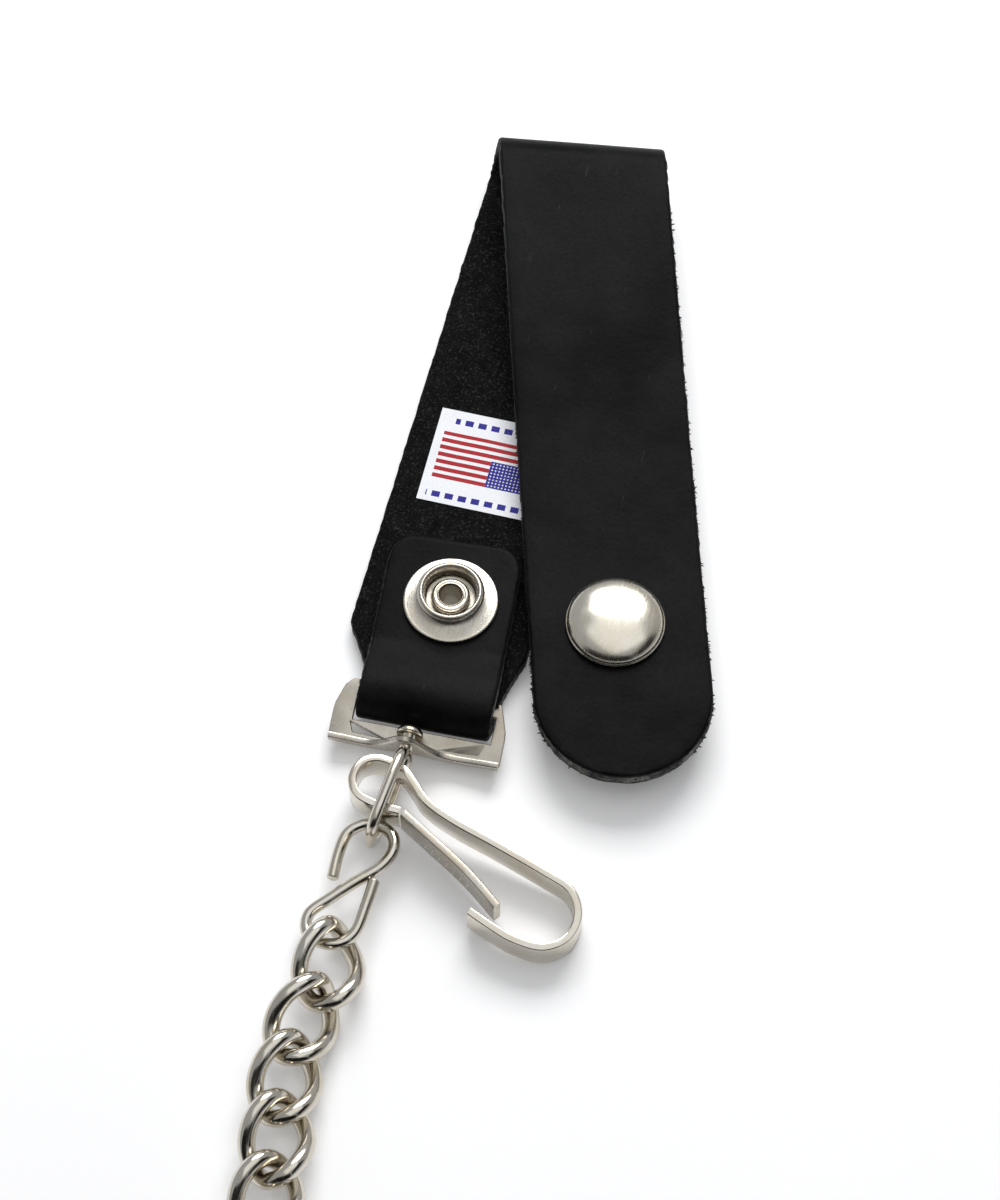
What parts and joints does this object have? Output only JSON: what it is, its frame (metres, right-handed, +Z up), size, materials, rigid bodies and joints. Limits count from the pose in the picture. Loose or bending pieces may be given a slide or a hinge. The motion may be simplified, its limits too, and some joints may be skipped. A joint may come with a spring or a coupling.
{
  "type": "wallet chain strap",
  "caption": "Black leather belt strap with a ring snap, a stamped plate with swivel eye, a spring clip, an open S-hook and a nickel curb chain",
  "frame": {"origin": "on the table under the middle of the rear leaf, 40 mm above the snap stud", "axes": "+X across the rear leaf to the right, +Y along the rear leaf from the plate to the fold, +Z up from the table"},
  "size_m": [0.1093, 0.238, 0.0116],
  "materials": {
    "black_leather": "black grain outside, rough flesh side inside",
    "black_leather_flap": "smooth satin black grain",
    "label_paper": "glossy printed paper label",
    "nickel": "bright nickel plate"
  },
  "bodies": {
    "strap": {"strap_back": "black_leather", "strap_fold": "black_leather", "label": "label_paper", "snap_stud": "nickel", "snap_eyelet": "nickel"},
    "flap": {"strap_flap": "black_leather_flap", "snap_cap": "nickel", "snap_socket": "nickel"},
    "plate": {"loop_plate": "nickel"},
    "swivel": {"swivel_post": "nickel", "swivel_eye": "nickel"},
    "clip": {"clip_body": "nickel"},
    "gate": {"clip_gate": "nickel"},
    "hook": {"s_hook": "nickel"},
    "link_01": {"link_01": "nickel"},
    "link_02": {"link_02": "nickel"},
    "link_03": {"link_03": "nickel"},
    "link_04": {"link_04": "nickel"},
    "link_05": {"link_05": "nickel"},
    "link_06": {"link_06": "nickel"},
    "link_07": {"link_07": "nickel"},
    "link_08": {"link_08": "nickel"},
    "link_09": {"link_09": "nickel"},
    "link_10": {"link_10": "nickel"},
    "link_11": {"link_11": "nickel"},
    "link_12": {"link_12": "nickel"},
    "link_13": {"link_13": "nickel"},
    "link_14": {"link_14": "nickel"},
    "link_15": {"link_15": "nickel"},
    "link_16": {"link_16": "nickel"},
    "end_hook": {"end_hook": "nickel"}
  },
  "joints": [
    {"name": "flap_lift", "type": "hinge", "parent": "strap", "child": "flap", "pos_m": [-0.00021, 0.04126, 0.0058], "axis": [-0.9894, -0.1452, 0], "range_deg": [0, 110], "deforming": ["strap_fold"]},
    {"name": "plate_lift", "type": "hinge", "parent": "strap", "child": "plate", "pos_m": [0.0005, -0.0564, 0.0041], "axis": [-0.9994, -0.0349, 0], "range_deg": [0, 12]},
    {"name": "swivel_turn", "type": "hinge", "parent": "plate", "child": "swivel", "pos_m": [-0.0006, -0.064, 0.0055], "axis": [0, -1, 0], "continuous": true},
    {"name": "clip_swing", "type": "hinge", "parent": "swivel", "child": "clip", "pos_m": [-0.0012, -0.072, 0.0055], "axis": [0, 0, 1], "range_deg": [-6, 6]},
    {"name": "gate_press", "type": "hinge", "parent": "clip", "child": "gate", "pos_m": [0.0019, -0.0761, 0.0055], "axis": [0, 0, 1], "range_deg": [0, 12], "stiffness_Nm_per_rad": 0.05},
    {"name": "hook_swing", "type": "hinge", "parent": "swivel", "child": "hook", "pos_m": [-0.0018, -0.0778, 0.004], "axis": [0, 0, 1], "range_deg": [-8, 8]},
    {"name": "link_01_swing", "type": "hinge", "parent": "hook", "child": "link_01", "pos_m": [-0.0033, -0.0966, 0.00385], "axis": [0, 0, 1], "range_deg": [-8, 8]},
    {"name": "link_02_swing", "type": "hinge", "parent": "link_01", "child": "link_02", "pos_m": [-0.00365, -0.10508, 0.004], "axis": [0, 0, 1], "range_deg": [0, 6]},
    {"name": "link_03_swing", "type": "hinge", "parent": "link_02", "child": "link_03", "pos_m": [-0.00438, -0.1141, 0.004], "axis": [0, 0, 1], "range_deg": [-8, 8]},
    {"name": "link_04_swing", "type": "hinge", "parent": "link_03", "child": "link_04", "pos_m": [-0.00387, -0.12312, 0.00398], "axis": [0, 0, 1], "range_deg": [-8, 8]},
    {"name": "link_05_swing", "type": "hinge", "parent": "link_04", "child": "link_05", "pos_m": [-0.0028, -0.1321, 0.0039], "axis": [0, 0, 1], "range_deg": [-8, 8]},
    {"name": "link_06_swing", "type": "hinge", "parent": "link_05", "child": "link_06", "pos_m": [-0.00183, -0.1411, 0.00385], "axis": [0, 0, 1], "range_deg": [-8, 8]},
    {"name": "link_07_swing", "type": "hinge", "parent": "link_06", "child": "link_07", "pos_m": [-0.00003, -0.14993, 0.00385], "axis": [0, 0, 1], "range_deg": [-8, 8]},
    {"name": "link_08_swing", "type": "hinge", "parent": "link_07", "child": "link_08", "pos_m": [0.00342, -0.15825, 0.00385], "axis": [0, 0, 1], "range_deg": [-8, 8]},
    {"name": "link_09_swing", "type": "hinge", "parent": "link_08", "child": "link_09", "pos_m": [0.00839, -0.16576, 0.00385], "axis": [0, 0, 1], "range_deg": [-8, 8]},
    {"name": "link_10_swing", "type": "hinge", "parent": "link_09", "child": "link_10", "pos_m": [0.0147, -0.17219, 0.00385], "axis": [0, 0, 1], "range_deg": [-8, 8]},
    {"name": "link_11_swing", "type": "hinge", "parent": "link_10", "child": "link_11", "pos_m": [0.02213, -0.17729, 0.00385], "axis": [0, 0, 1], "range_deg": [-8, 8]},
    {"name": "link_12_swing", "type": "hinge", "parent": "link_11", "child": "link_12", "pos_m": [0.03039, -0.18088, 0.00385], "axis": [0, 0, 1], "range_deg": [-8, 8]},
    {"name": "link_13_swing", "type": "hinge", "parent": "link_12", "child": "link_13", "pos_m": [0.03918, -0.18283, 0.00385], "axis": [0, 0, 1], "range_deg": [-8, 5]},
    {"name": "link_14_swing", "type": "hinge", "parent": "link_13", "child": "link_14", "pos_m": [0.04819, -0.18307, 0.00392], "axis": [0, 0, 1], "range_deg": [-8, 8]},
    {"name": "link_15_swing", "type": "hinge", "parent": "link_14", "child": "link_15", "pos_m": [0.05722, -0.18223, 0.004], "axis": [0, 0, 1], "range_deg": [-5, 8]},
    {"name": "link_16_swing", "type": "hinge", "parent": "link_15", "child": "link_16", "pos_m": [0.06627, -0.18177, 0.004], "axis": [0, 0, 1], "range_deg": [-6, 0]},
    {"name": "end_hook_swing", "type": "hinge", "parent": "link_16", "child": "end_hook", "pos_m": [0.07471, -0.18101, 0.00385], "axis": [0, 0, 1], "range_deg": [-8, 8]}
  ]
}
